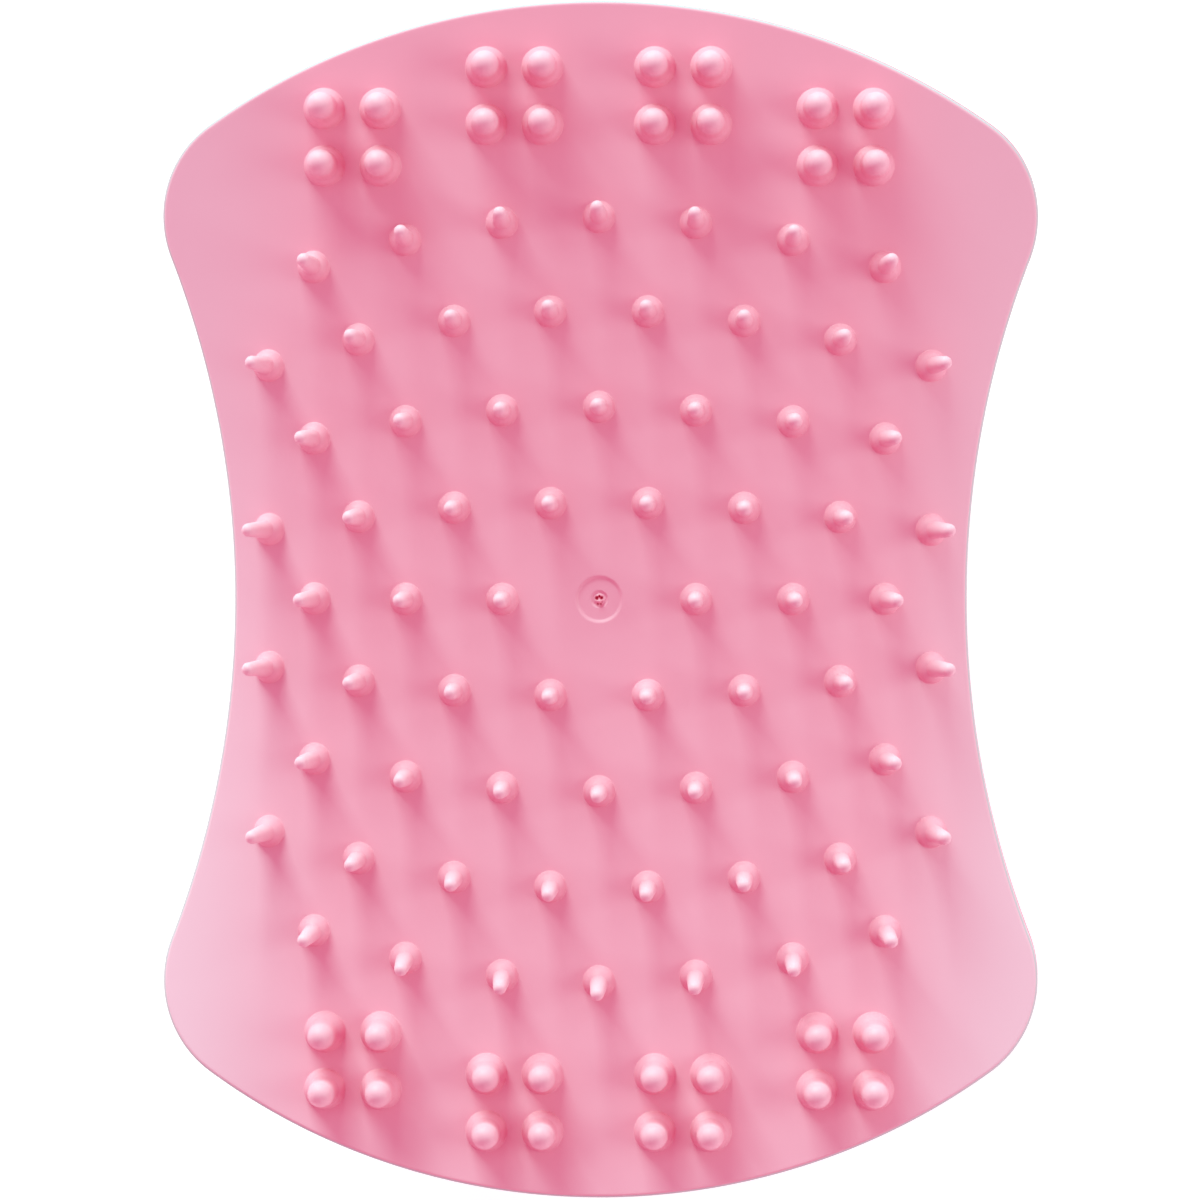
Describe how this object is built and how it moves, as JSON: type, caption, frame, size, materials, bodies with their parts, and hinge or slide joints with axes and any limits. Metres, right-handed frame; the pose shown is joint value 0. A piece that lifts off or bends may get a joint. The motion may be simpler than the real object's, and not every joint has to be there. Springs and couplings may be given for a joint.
{
  "type": "scalp massager brush",
  "caption": "Palm-sized scalp massager brush: waisted hollow grip, saddle-shaped soft face with slender bending teeth and short thick teeth at both ends.",
  "frame": {"origin": "middle of the flat of the back, at the bottom of the bounding box", "axes": "+X across the width, +Y along the length, +Z out of the face towards the tooth tips"},
  "size_m": [0.0698, 0.095, 0.0451],
  "materials": {
    "tooth_pad": "satin pink thermoplastic elastomer, slightly translucent",
    "teeth": "satin pink thermoplastic elastomer, slightly translucent",
    "back_shell": "satin-gloss pink moulded plastic",
    "carrier_plate": "plain off-white moulded plastic"
  },
  "bodies": {
    "handle": {"back_shell": "back_shell", "carrier_plate": "carrier_plate", "tooth_pad": "tooth_pad"},
    "thin_tooth_row_1_1": {"thin_tooth_row_1_1": "teeth"},
    "thin_teeth_row_1_2": {"thin_teeth_row_1_2": "teeth"},
    "thin_teeth_row_1_3": {"thin_teeth_row_1_3": "teeth"},
    "thin_teeth_row_1_4": {"thin_teeth_row_1_4": "teeth"},
    "thin_teeth_row_2_1": {"thin_teeth_row_2_1": "teeth"},
    "thin_teeth_row_2_2": {"thin_teeth_row_2_2": "teeth"},
    "thin_teeth_row_2_3": {"thin_teeth_row_2_3": "teeth"},
    "thin_teeth_row_2_4": {"thin_teeth_row_2_4": "teeth"},
    "thin_tooth_row_3_1": {"thin_tooth_row_3_1": "teeth"},
    "thin_teeth_row_3_2": {"thin_teeth_row_3_2": "teeth"},
    "thin_teeth_row_3_3": {"thin_teeth_row_3_3": "teeth"},
    "thin_teeth_row_3_4": {"thin_teeth_row_3_4": "teeth"},
    "thin_teeth_row_4_1": {"thin_teeth_row_4_1": "teeth"},
    "thin_teeth_row_4_2": {"thin_teeth_row_4_2": "teeth"},
    "thin_teeth_row_4_3": {"thin_teeth_row_4_3": "teeth"},
    "thin_teeth_row_4_4": {"thin_teeth_row_4_4": "teeth"},
    "thin_teeth_row_5_1": {"thin_teeth_row_5_1": "teeth"},
    "thin_teeth_row_5_2": {"thin_teeth_row_5_2": "teeth"},
    "thin_teeth_row_5_3": {"thin_teeth_row_5_3": "teeth"},
    "thin_teeth_row_6_1": {"thin_teeth_row_6_1": "teeth"},
    "thin_teeth_row_6_2": {"thin_teeth_row_6_2": "teeth"},
    "thin_teeth_row_6_3": {"thin_teeth_row_6_3": "teeth"},
    "thin_teeth_row_6_4": {"thin_teeth_row_6_4": "teeth"},
    "thin_tooth_row_7_1": {"thin_tooth_row_7_1": "teeth"},
    "thin_teeth_row_7_2": {"thin_teeth_row_7_2": "teeth"},
    "thin_teeth_row_7_3": {"thin_teeth_row_7_3": "teeth"},
    "thin_teeth_row_7_4": {"thin_teeth_row_7_4": "teeth"},
    "thin_teeth_row_8_1": {"thin_teeth_row_8_1": "teeth"},
    "thin_teeth_row_8_2": {"thin_teeth_row_8_2": "teeth"},
    "thin_teeth_row_8_3": {"thin_teeth_row_8_3": "teeth"},
    "thin_teeth_row_8_4": {"thin_teeth_row_8_4": "teeth"},
    "thin_tooth_row_9_1": {"thin_tooth_row_9_1": "teeth"},
    "thin_teeth_row_9_2": {"thin_teeth_row_9_2": "teeth"},
    "thin_teeth_row_9_3": {"thin_teeth_row_9_3": "teeth"},
    "thin_teeth_row_9_4": {"thin_teeth_row_9_4": "teeth"},
    "thick_teeth_top_inner_1": {"thick_teeth_top_inner_1": "teeth"},
    "thick_teeth_top_inner_2": {"thick_teeth_top_inner_2": "teeth"},
    "thick_teeth_top_inner_3": {"thick_teeth_top_inner_3": "teeth"},
    "thick_teeth_top_inner_4": {"thick_teeth_top_inner_4": "teeth"},
    "thick_teeth_top_outer_1": {"thick_teeth_top_outer_1": "teeth"},
    "thick_teeth_top_outer_2": {"thick_teeth_top_outer_2": "teeth"},
    "thick_teeth_top_outer_3": {"thick_teeth_top_outer_3": "teeth"},
    "thick_teeth_top_outer_4": {"thick_teeth_top_outer_4": "teeth"},
    "thick_teeth_bottom_inner_1": {"thick_teeth_bottom_inner_1": "teeth"},
    "thick_teeth_bottom_inner_2": {"thick_teeth_bottom_inner_2": "teeth"},
    "thick_teeth_bottom_inner_3": {"thick_teeth_bottom_inner_3": "teeth"},
    "thick_teeth_bottom_inner_4": {"thick_teeth_bottom_inner_4": "teeth"},
    "thick_teeth_bottom_outer_1": {"thick_teeth_bottom_outer_1": "teeth"},
    "thick_teeth_bottom_outer_2": {"thick_teeth_bottom_outer_2": "teeth"},
    "thick_teeth_bottom_outer_3": {"thick_teeth_bottom_outer_3": "teeth"},
    "thick_teeth_bottom_outer_4": {"thick_teeth_bottom_outer_4": "teeth"}
  },
  "joints": [
    {"name": "thin_tooth_row_1_1_bend", "type": "hinge", "parent": "handle", "child": "thin_tooth_row_1_1", "pos_m": [0, 0.0303, 0.03992], "axis": [1, 0, 0], "range_deg": [-25, 25], "stiffness_Nm_per_rad": 0.003},
    {"name": "thin_teeth_row_1_2_bend", "type": "hinge", "parent": "handle", "child": "thin_teeth_row_1_2", "pos_m": [0, 0.02984, 0.03988], "axis": [1, 0, 0], "range_deg": [-25, 25], "stiffness_Nm_per_rad": 0.006},
    {"name": "thin_teeth_row_1_3_bend", "type": "hinge", "parent": "handle", "child": "thin_teeth_row_1_3", "pos_m": [0, 0.02848, 0.03967], "axis": [1, 0, 0], "range_deg": [-25, 25], "stiffness_Nm_per_rad": 0.006},
    {"name": "thin_teeth_row_1_4_bend", "type": "hinge", "parent": "handle", "child": "thin_teeth_row_1_4", "pos_m": [0, 0.02633, 0.03898], "axis": [1, 0, 0], "range_deg": [-25, 25], "stiffness_Nm_per_rad": 0.006},
    {"name": "thin_teeth_row_2_1_bend", "type": "hinge", "parent": "handle", "child": "thin_teeth_row_2_1", "pos_m": [0, 0.0228, 0.03952], "axis": [1, 0, 0], "range_deg": [-25, 25], "stiffness_Nm_per_rad": 0.006},
    {"name": "thin_teeth_row_2_2_bend", "type": "hinge", "parent": "handle", "child": "thin_teeth_row_2_2", "pos_m": [0, 0.02206, 0.03943], "axis": [1, 0, 0], "range_deg": [-25, 25], "stiffness_Nm_per_rad": 0.006},
    {"name": "thin_teeth_row_2_3_bend", "type": "hinge", "parent": "handle", "child": "thin_teeth_row_2_3", "pos_m": [0, 0.02058, 0.039], "axis": [1, 0, 0], "range_deg": [-25, 25], "stiffness_Nm_per_rad": 0.006},
    {"name": "thin_teeth_row_2_4_bend", "type": "hinge", "parent": "handle", "child": "thin_teeth_row_2_4", "pos_m": [0, 0.01851, 0.03771], "axis": [1, 0, 0], "range_deg": [-25, 25], "stiffness_Nm_per_rad": 0.006},
    {"name": "thin_tooth_row_3_1_bend", "type": "hinge", "parent": "handle", "child": "thin_tooth_row_3_1", "pos_m": [0, 0.01525, 0.03923], "axis": [1, 0, 0], "range_deg": [-25, 25], "stiffness_Nm_per_rad": 0.003},
    {"name": "thin_teeth_row_3_2_bend", "type": "hinge", "parent": "handle", "child": "thin_teeth_row_3_2", "pos_m": [0, 0.01496, 0.03921], "axis": [1, 0, 0], "range_deg": [-25, 25], "stiffness_Nm_per_rad": 0.006},
    {"name": "thin_teeth_row_3_3_bend", "type": "hinge", "parent": "handle", "child": "thin_teeth_row_3_3", "pos_m": [0, 0.01409, 0.03898], "axis": [1, 0, 0], "range_deg": [-25, 25], "stiffness_Nm_per_rad": 0.006},
    {"name": "thin_teeth_row_3_4_bend", "type": "hinge", "parent": "handle", "child": "thin_teeth_row_3_4", "pos_m": [0, 0.01274, 0.03812], "axis": [1, 0, 0], "range_deg": [-25, 25], "stiffness_Nm_per_rad": 0.006},
    {"name": "thin_teeth_row_4_1_bend", "type": "hinge", "parent": "handle", "child": "thin_teeth_row_4_1", "pos_m": [0, 0.00761, 0.03906], "axis": [1, 0, 0], "range_deg": [-25, 25], "stiffness_Nm_per_rad": 0.006},
    {"name": "thin_teeth_row_4_2_bend", "type": "hinge", "parent": "handle", "child": "thin_teeth_row_4_2", "pos_m": [0, 0.00724, 0.03898], "axis": [1, 0, 0], "range_deg": [-25, 25], "stiffness_Nm_per_rad": 0.006},
    {"name": "thin_teeth_row_4_3_bend", "type": "hinge", "parent": "handle", "child": "thin_teeth_row_4_3", "pos_m": [0, 0.00651, 0.03845], "axis": [1, 0, 0], "range_deg": [-25, 25], "stiffness_Nm_per_rad": 0.006},
    {"name": "thin_teeth_row_4_4_bend", "type": "hinge", "parent": "handle", "child": "thin_teeth_row_4_4", "pos_m": [0, 0.00549, 0.03688], "axis": [1, 0, 0], "range_deg": [-25, 25], "stiffness_Nm_per_rad": 0.006},
    {"name": "thin_teeth_row_5_1_bend", "type": "hinge", "parent": "handle", "child": "thin_teeth_row_5_1", "pos_m": [0, 0, 0.03898], "axis": [1, 0, 0], "range_deg": [-25, 25], "stiffness_Nm_per_rad": 0.006},
    {"name": "thin_teeth_row_5_2_bend", "type": "hinge", "parent": "handle", "child": "thin_teeth_row_5_2", "pos_m": [0, 0, 0.03874], "axis": [1, 0, 0], "range_deg": [-25, 25], "stiffness_Nm_per_rad": 0.006},
    {"name": "thin_teeth_row_5_3_bend", "type": "hinge", "parent": "handle", "child": "thin_teeth_row_5_3", "pos_m": [0, 0, 0.03778], "axis": [1, 0, 0], "range_deg": [-25, 25], "stiffness_Nm_per_rad": 0.006},
    {"name": "thin_teeth_row_6_1_bend", "type": "hinge", "parent": "handle", "child": "thin_teeth_row_6_1", "pos_m": [0, -0.00761, 0.03906], "axis": [1, 0, 0], "range_deg": [-25, 25], "stiffness_Nm_per_rad": 0.006},
    {"name": "thin_teeth_row_6_2_bend", "type": "hinge", "parent": "handle", "child": "thin_teeth_row_6_2", "pos_m": [0, -0.00724, 0.03898], "axis": [1, 0, 0], "range_deg": [-25, 25], "stiffness_Nm_per_rad": 0.006},
    {"name": "thin_teeth_row_6_3_bend", "type": "hinge", "parent": "handle", "child": "thin_teeth_row_6_3", "pos_m": [0, -0.00651, 0.03845], "axis": [1, 0, 0], "range_deg": [-25, 25], "stiffness_Nm_per_rad": 0.006},
    {"name": "thin_teeth_row_6_4_bend", "type": "hinge", "parent": "handle", "child": "thin_teeth_row_6_4", "pos_m": [0, -0.00549, 0.03688], "axis": [1, 0, 0], "range_deg": [-25, 25], "stiffness_Nm_per_rad": 0.006},
    {"name": "thin_tooth_row_7_1_bend", "type": "hinge", "parent": "handle", "child": "thin_tooth_row_7_1", "pos_m": [0, -0.01525, 0.03923], "axis": [1, 0, 0], "range_deg": [-25, 25], "stiffness_Nm_per_rad": 0.003},
    {"name": "thin_teeth_row_7_2_bend", "type": "hinge", "parent": "handle", "child": "thin_teeth_row_7_2", "pos_m": [0, -0.01496, 0.03921], "axis": [1, 0, 0], "range_deg": [-25, 25], "stiffness_Nm_per_rad": 0.006},
    {"name": "thin_teeth_row_7_3_bend", "type": "hinge", "parent": "handle", "child": "thin_teeth_row_7_3", "pos_m": [0, -0.01409, 0.03898], "axis": [1, 0, 0], "range_deg": [-25, 25], "stiffness_Nm_per_rad": 0.006},
    {"name": "thin_teeth_row_7_4_bend", "type": "hinge", "parent": "handle", "child": "thin_teeth_row_7_4", "pos_m": [0, -0.01274, 0.03812], "axis": [1, 0, 0], "range_deg": [-25, 25], "stiffness_Nm_per_rad": 0.006},
    {"name": "thin_teeth_row_8_1_bend", "type": "hinge", "parent": "handle", "child": "thin_teeth_row_8_1", "pos_m": [0, -0.0228, 0.03952], "axis": [1, 0, 0], "range_deg": [-25, 25], "stiffness_Nm_per_rad": 0.006},
    {"name": "thin_teeth_row_8_2_bend", "type": "hinge", "parent": "handle", "child": "thin_teeth_row_8_2", "pos_m": [0, -0.02206, 0.03943], "axis": [1, 0, 0], "range_deg": [-25, 25], "stiffness_Nm_per_rad": 0.006},
    {"name": "thin_teeth_row_8_3_bend", "type": "hinge", "parent": "handle", "child": "thin_teeth_row_8_3", "pos_m": [0, -0.02058, 0.039], "axis": [1, 0, 0], "range_deg": [-25, 25], "stiffness_Nm_per_rad": 0.006},
    {"name": "thin_teeth_row_8_4_bend", "type": "hinge", "parent": "handle", "child": "thin_teeth_row_8_4", "pos_m": [0, -0.01851, 0.03771], "axis": [1, 0, 0], "range_deg": [-25, 25], "stiffness_Nm_per_rad": 0.006},
    {"name": "thin_tooth_row_9_1_bend", "type": "hinge", "parent": "handle", "child": "thin_tooth_row_9_1", "pos_m": [0, -0.0303, 0.03992], "axis": [1, 0, 0], "range_deg": [-25, 25], "stiffness_Nm_per_rad": 0.003},
    {"name": "thin_teeth_row_9_2_bend", "type": "hinge", "parent": "handle", "child": "thin_teeth_row_9_2", "pos_m": [0, -0.02984, 0.03988], "axis": [1, 0, 0], "range_deg": [-25, 25], "stiffness_Nm_per_rad": 0.006},
    {"name": "thin_teeth_row_9_3_bend", "type": "hinge", "parent": "handle", "child": "thin_teeth_row_9_3", "pos_m": [0, -0.02848, 0.03967], "axis": [1, 0, 0], "range_deg": [-25, 25], "stiffness_Nm_per_rad": 0.006},
    {"name": "thin_teeth_row_9_4_bend", "type": "hinge", "parent": "handle", "child": "thin_teeth_row_9_4", "pos_m": [0, -0.02633, 0.03898], "axis": [1, 0, 0], "range_deg": [-25, 25], "stiffness_Nm_per_rad": 0.006},
    {"name": "thick_teeth_top_inner_1_bend", "type": "hinge", "parent": "handle", "child": "thick_teeth_top_inner_1", "pos_m": [0, 0.04213, 0.04077], "axis": [1, 0, 0], "range_deg": [-12.5, 12.5], "stiffness_Nm_per_rad": 0.03},
    {"name": "thick_teeth_top_inner_2_bend", "type": "hinge", "parent": "handle", "child": "thick_teeth_top_inner_2", "pos_m": [0, 0.04213, 0.04077], "axis": [1, 0, 0], "range_deg": [-12.5, 12.5], "stiffness_Nm_per_rad": 0.03},
    {"name": "thick_teeth_top_inner_3_bend", "type": "hinge", "parent": "handle", "child": "thick_teeth_top_inner_3", "pos_m": [0, 0.03762, 0.04041], "axis": [1, 0, 0], "range_deg": [-12.5, 12.5], "stiffness_Nm_per_rad": 0.03},
    {"name": "thick_teeth_top_inner_4_bend", "type": "hinge", "parent": "handle", "child": "thick_teeth_top_inner_4", "pos_m": [0, 0.03762, 0.0404], "axis": [1, 0, 0], "range_deg": [-12.5, 12.5], "stiffness_Nm_per_rad": 0.03},
    {"name": "thick_teeth_top_outer_1_bend", "type": "hinge", "parent": "handle", "child": "thick_teeth_top_outer_1", "pos_m": [0, 0.03886, 0.04035], "axis": [1, 0, 0], "range_deg": [-12.5, 12.5], "stiffness_Nm_per_rad": 0.03},
    {"name": "thick_teeth_top_outer_2_bend", "type": "hinge", "parent": "handle", "child": "thick_teeth_top_outer_2", "pos_m": [0, 0.03886, 0.04011], "axis": [1, 0, 0], "range_deg": [-12.5, 12.5], "stiffness_Nm_per_rad": 0.03},
    {"name": "thick_teeth_top_outer_3_bend", "type": "hinge", "parent": "handle", "child": "thick_teeth_top_outer_3", "pos_m": [0, 0.03434, 0.03999], "axis": [1, 0, 0], "range_deg": [-12.5, 12.5], "stiffness_Nm_per_rad": 0.03},
    {"name": "thick_teeth_top_outer_4_bend", "type": "hinge", "parent": "handle", "child": "thick_teeth_top_outer_4", "pos_m": [0, 0.03434, 0.03971], "axis": [1, 0, 0], "range_deg": [-12.5, 12.5], "stiffness_Nm_per_rad": 0.03},
    {"name": "thick_teeth_bottom_inner_1_bend", "type": "hinge", "parent": "handle", "child": "thick_teeth_bottom_inner_1", "pos_m": [0, -0.04213, 0.04077], "axis": [1, 0, 0], "range_deg": [-12.5, 12.5], "stiffness_Nm_per_rad": 0.03},
    {"name": "thick_teeth_bottom_inner_2_bend", "type": "hinge", "parent": "handle", "child": "thick_teeth_bottom_inner_2", "pos_m": [0, -0.04213, 0.04077], "axis": [1, 0, 0], "range_deg": [-12.5, 12.5], "stiffness_Nm_per_rad": 0.03},
    {"name": "thick_teeth_bottom_inner_3_bend", "type": "hinge", "parent": "handle", "child": "thick_teeth_bottom_inner_3", "pos_m": [0, -0.03762, 0.04041], "axis": [1, 0, 0], "range_deg": [-12.5, 12.5], "stiffness_Nm_per_rad": 0.03},
    {"name": "thick_teeth_bottom_inner_4_bend", "type": "hinge", "parent": "handle", "child": "thick_teeth_bottom_inner_4", "pos_m": [0, -0.03762, 0.0404], "axis": [1, 0, 0], "range_deg": [-12.5, 12.5], "stiffness_Nm_per_rad": 0.03},
    {"name": "thick_teeth_bottom_outer_1_bend", "type": "hinge", "parent": "handle", "child": "thick_teeth_bottom_outer_1", "pos_m": [0, -0.03886, 0.04035], "axis": [1, 0, 0], "range_deg": [-12.5, 12.5], "stiffness_Nm_per_rad": 0.03},
    {"name": "thick_teeth_bottom_outer_2_bend", "type": "hinge", "parent": "handle", "child": "thick_teeth_bottom_outer_2", "pos_m": [0, -0.03886, 0.04011], "axis": [1, 0, 0], "range_deg": [-12.5, 12.5], "stiffness_Nm_per_rad": 0.03},
    {"name": "thick_teeth_bottom_outer_3_bend", "type": "hinge", "parent": "handle", "child": "thick_teeth_bottom_outer_3", "pos_m": [0, -0.03434, 0.03999], "axis": [1, 0, 0], "range_deg": [-12.5, 12.5], "stiffness_Nm_per_rad": 0.03},
    {"name": "thick_teeth_bottom_outer_4_bend", "type": "hinge", "parent": "handle", "child": "thick_teeth_bottom_outer_4", "pos_m": [0, -0.03434, 0.03971], "axis": [1, 0, 0], "range_deg": [-12.5, 12.5], "stiffness_Nm_per_rad": 0.03}
  ],
  "couplings": [
    {"joint": "thin_tooth_row_1_1_bend", "follows": "thin_teeth_row_5_1_bend", "ratio": 1},
    {"joint": "thin_teeth_row_1_2_bend", "follows": "thin_teeth_row_5_1_bend", "ratio": 1},
    {"joint": "thin_teeth_row_1_3_bend", "follows": "thin_teeth_row_5_1_bend", "ratio": 1},
    {"joint": "thin_teeth_row_1_4_bend", "follows": "thin_teeth_row_5_1_bend", "ratio": 1},
    {"joint": "thin_teeth_row_2_1_bend", "follows": "thin_teeth_row_5_1_bend", "ratio": 1},
    {"joint": "thin_teeth_row_2_2_bend", "follows": "thin_teeth_row_5_1_bend", "ratio": 1},
    {"joint": "thin_teeth_row_2_3_bend", "follows": "thin_teeth_row_5_1_bend", "ratio": 1},
    {"joint": "thin_teeth_row_2_4_bend", "follows": "thin_teeth_row_5_1_bend", "ratio": 1},
    {"joint": "thin_tooth_row_3_1_bend", "follows": "thin_teeth_row_5_1_bend", "ratio": 1},
    {"joint": "thin_teeth_row_3_2_bend", "follows": "thin_teeth_row_5_1_bend", "ratio": 1},
    {"joint": "thin_teeth_row_3_3_bend", "follows": "thin_teeth_row_5_1_bend", "ratio": 1},
    {"joint": "thin_teeth_row_3_4_bend", "follows": "thin_teeth_row_5_1_bend", "ratio": 1},
    {"joint": "thin_teeth_row_4_1_bend", "follows": "thin_teeth_row_5_1_bend", "ratio": 1},
    {"joint": "thin_teeth_row_4_2_bend", "follows": "thin_teeth_row_5_1_bend", "ratio": 1},
    {"joint": "thin_teeth_row_4_3_bend", "follows": "thin_teeth_row_5_1_bend", "ratio": 1},
    {"joint": "thin_teeth_row_4_4_bend", "follows": "thin_teeth_row_5_1_bend", "ratio": 1},
    {"joint": "thin_teeth_row_5_2_bend", "follows": "thin_teeth_row_5_1_bend", "ratio": 1},
    {"joint": "thin_teeth_row_5_3_bend", "follows": "thin_teeth_row_5_1_bend", "ratio": 1},
    {"joint": "thin_teeth_row_6_1_bend", "follows": "thin_teeth_row_5_1_bend", "ratio": 1},
    {"joint": "thin_teeth_row_6_2_bend", "follows": "thin_teeth_row_5_1_bend", "ratio": 1},
    {"joint": "thin_teeth_row_6_3_bend", "follows": "thin_teeth_row_5_1_bend", "ratio": 1},
    {"joint": "thin_teeth_row_6_4_bend", "follows": "thin_teeth_row_5_1_bend", "ratio": 1},
    {"joint": "thin_tooth_row_7_1_bend", "follows": "thin_teeth_row_5_1_bend", "ratio": 1},
    {"joint": "thin_teeth_row_7_2_bend", "follows": "thin_teeth_row_5_1_bend", "ratio": 1},
    {"joint": "thin_teeth_row_7_3_bend", "follows": "thin_teeth_row_5_1_bend", "ratio": 1},
    {"joint": "thin_teeth_row_7_4_bend", "follows": "thin_teeth_row_5_1_bend", "ratio": 1},
    {"joint": "thin_teeth_row_8_1_bend", "follows": "thin_teeth_row_5_1_bend", "ratio": 1},
    {"joint": "thin_teeth_row_8_2_bend", "follows": "thin_teeth_row_5_1_bend", "ratio": 1},
    {"joint": "thin_teeth_row_8_3_bend", "follows": "thin_teeth_row_5_1_bend", "ratio": 1},
    {"joint": "thin_teeth_row_8_4_bend", "follows": "thin_teeth_row_5_1_bend", "ratio": 1},
    {"joint": "thin_tooth_row_9_1_bend", "follows": "thin_teeth_row_5_1_bend", "ratio": 1},
    {"joint": "thin_teeth_row_9_2_bend", "follows": "thin_teeth_row_5_1_bend", "ratio": 1},
    {"joint": "thin_teeth_row_9_3_bend", "follows": "thin_teeth_row_5_1_bend", "ratio": 1},
    {"joint": "thin_teeth_row_9_4_bend", "follows": "thin_teeth_row_5_1_bend", "ratio": 1},
    {"joint": "thick_teeth_top_inner_1_bend", "follows": "thin_teeth_row_5_1_bend", "ratio": 0.5},
    {"joint": "thick_teeth_top_inner_2_bend", "follows": "thin_teeth_row_5_1_bend", "ratio": 0.5},
    {"joint": "thick_teeth_top_inner_3_bend", "follows": "thin_teeth_row_5_1_bend", "ratio": 0.5},
    {"joint": "thick_teeth_top_inner_4_bend", "follows": "thin_teeth_row_5_1_bend", "ratio": 0.5},
    {"joint": "thick_teeth_top_outer_1_bend", "follows": "thin_teeth_row_5_1_bend", "ratio": 0.5},
    {"joint": "thick_teeth_top_outer_2_bend", "follows": "thin_teeth_row_5_1_bend", "ratio": 0.5},
    {"joint": "thick_teeth_top_outer_3_bend", "follows": "thin_teeth_row_5_1_bend", "ratio": 0.5},
    {"joint": "thick_teeth_top_outer_4_bend", "follows": "thin_teeth_row_5_1_bend", "ratio": 0.5},
    {"joint": "thick_teeth_bottom_inner_1_bend", "follows": "thin_teeth_row_5_1_bend", "ratio": 0.5},
    {"joint": "thick_teeth_bottom_inner_2_bend", "follows": "thin_teeth_row_5_1_bend", "ratio": 0.5},
    {"joint": "thick_teeth_bottom_inner_3_bend", "follows": "thin_teeth_row_5_1_bend", "ratio": 0.5},
    {"joint": "thick_teeth_bottom_inner_4_bend", "follows": "thin_teeth_row_5_1_bend", "ratio": 0.5},
    {"joint": "thick_teeth_bottom_outer_1_bend", "follows": "thin_teeth_row_5_1_bend", "ratio": 0.5},
    {"joint": "thick_teeth_bottom_outer_2_bend", "follows": "thin_teeth_row_5_1_bend", "ratio": 0.5},
    {"joint": "thick_teeth_bottom_outer_3_bend", "follows": "thin_teeth_row_5_1_bend", "ratio": 0.5},
    {"joint": "thick_teeth_bottom_outer_4_bend", "follows": "thin_teeth_row_5_1_bend", "ratio": 0.5}
  ]
}
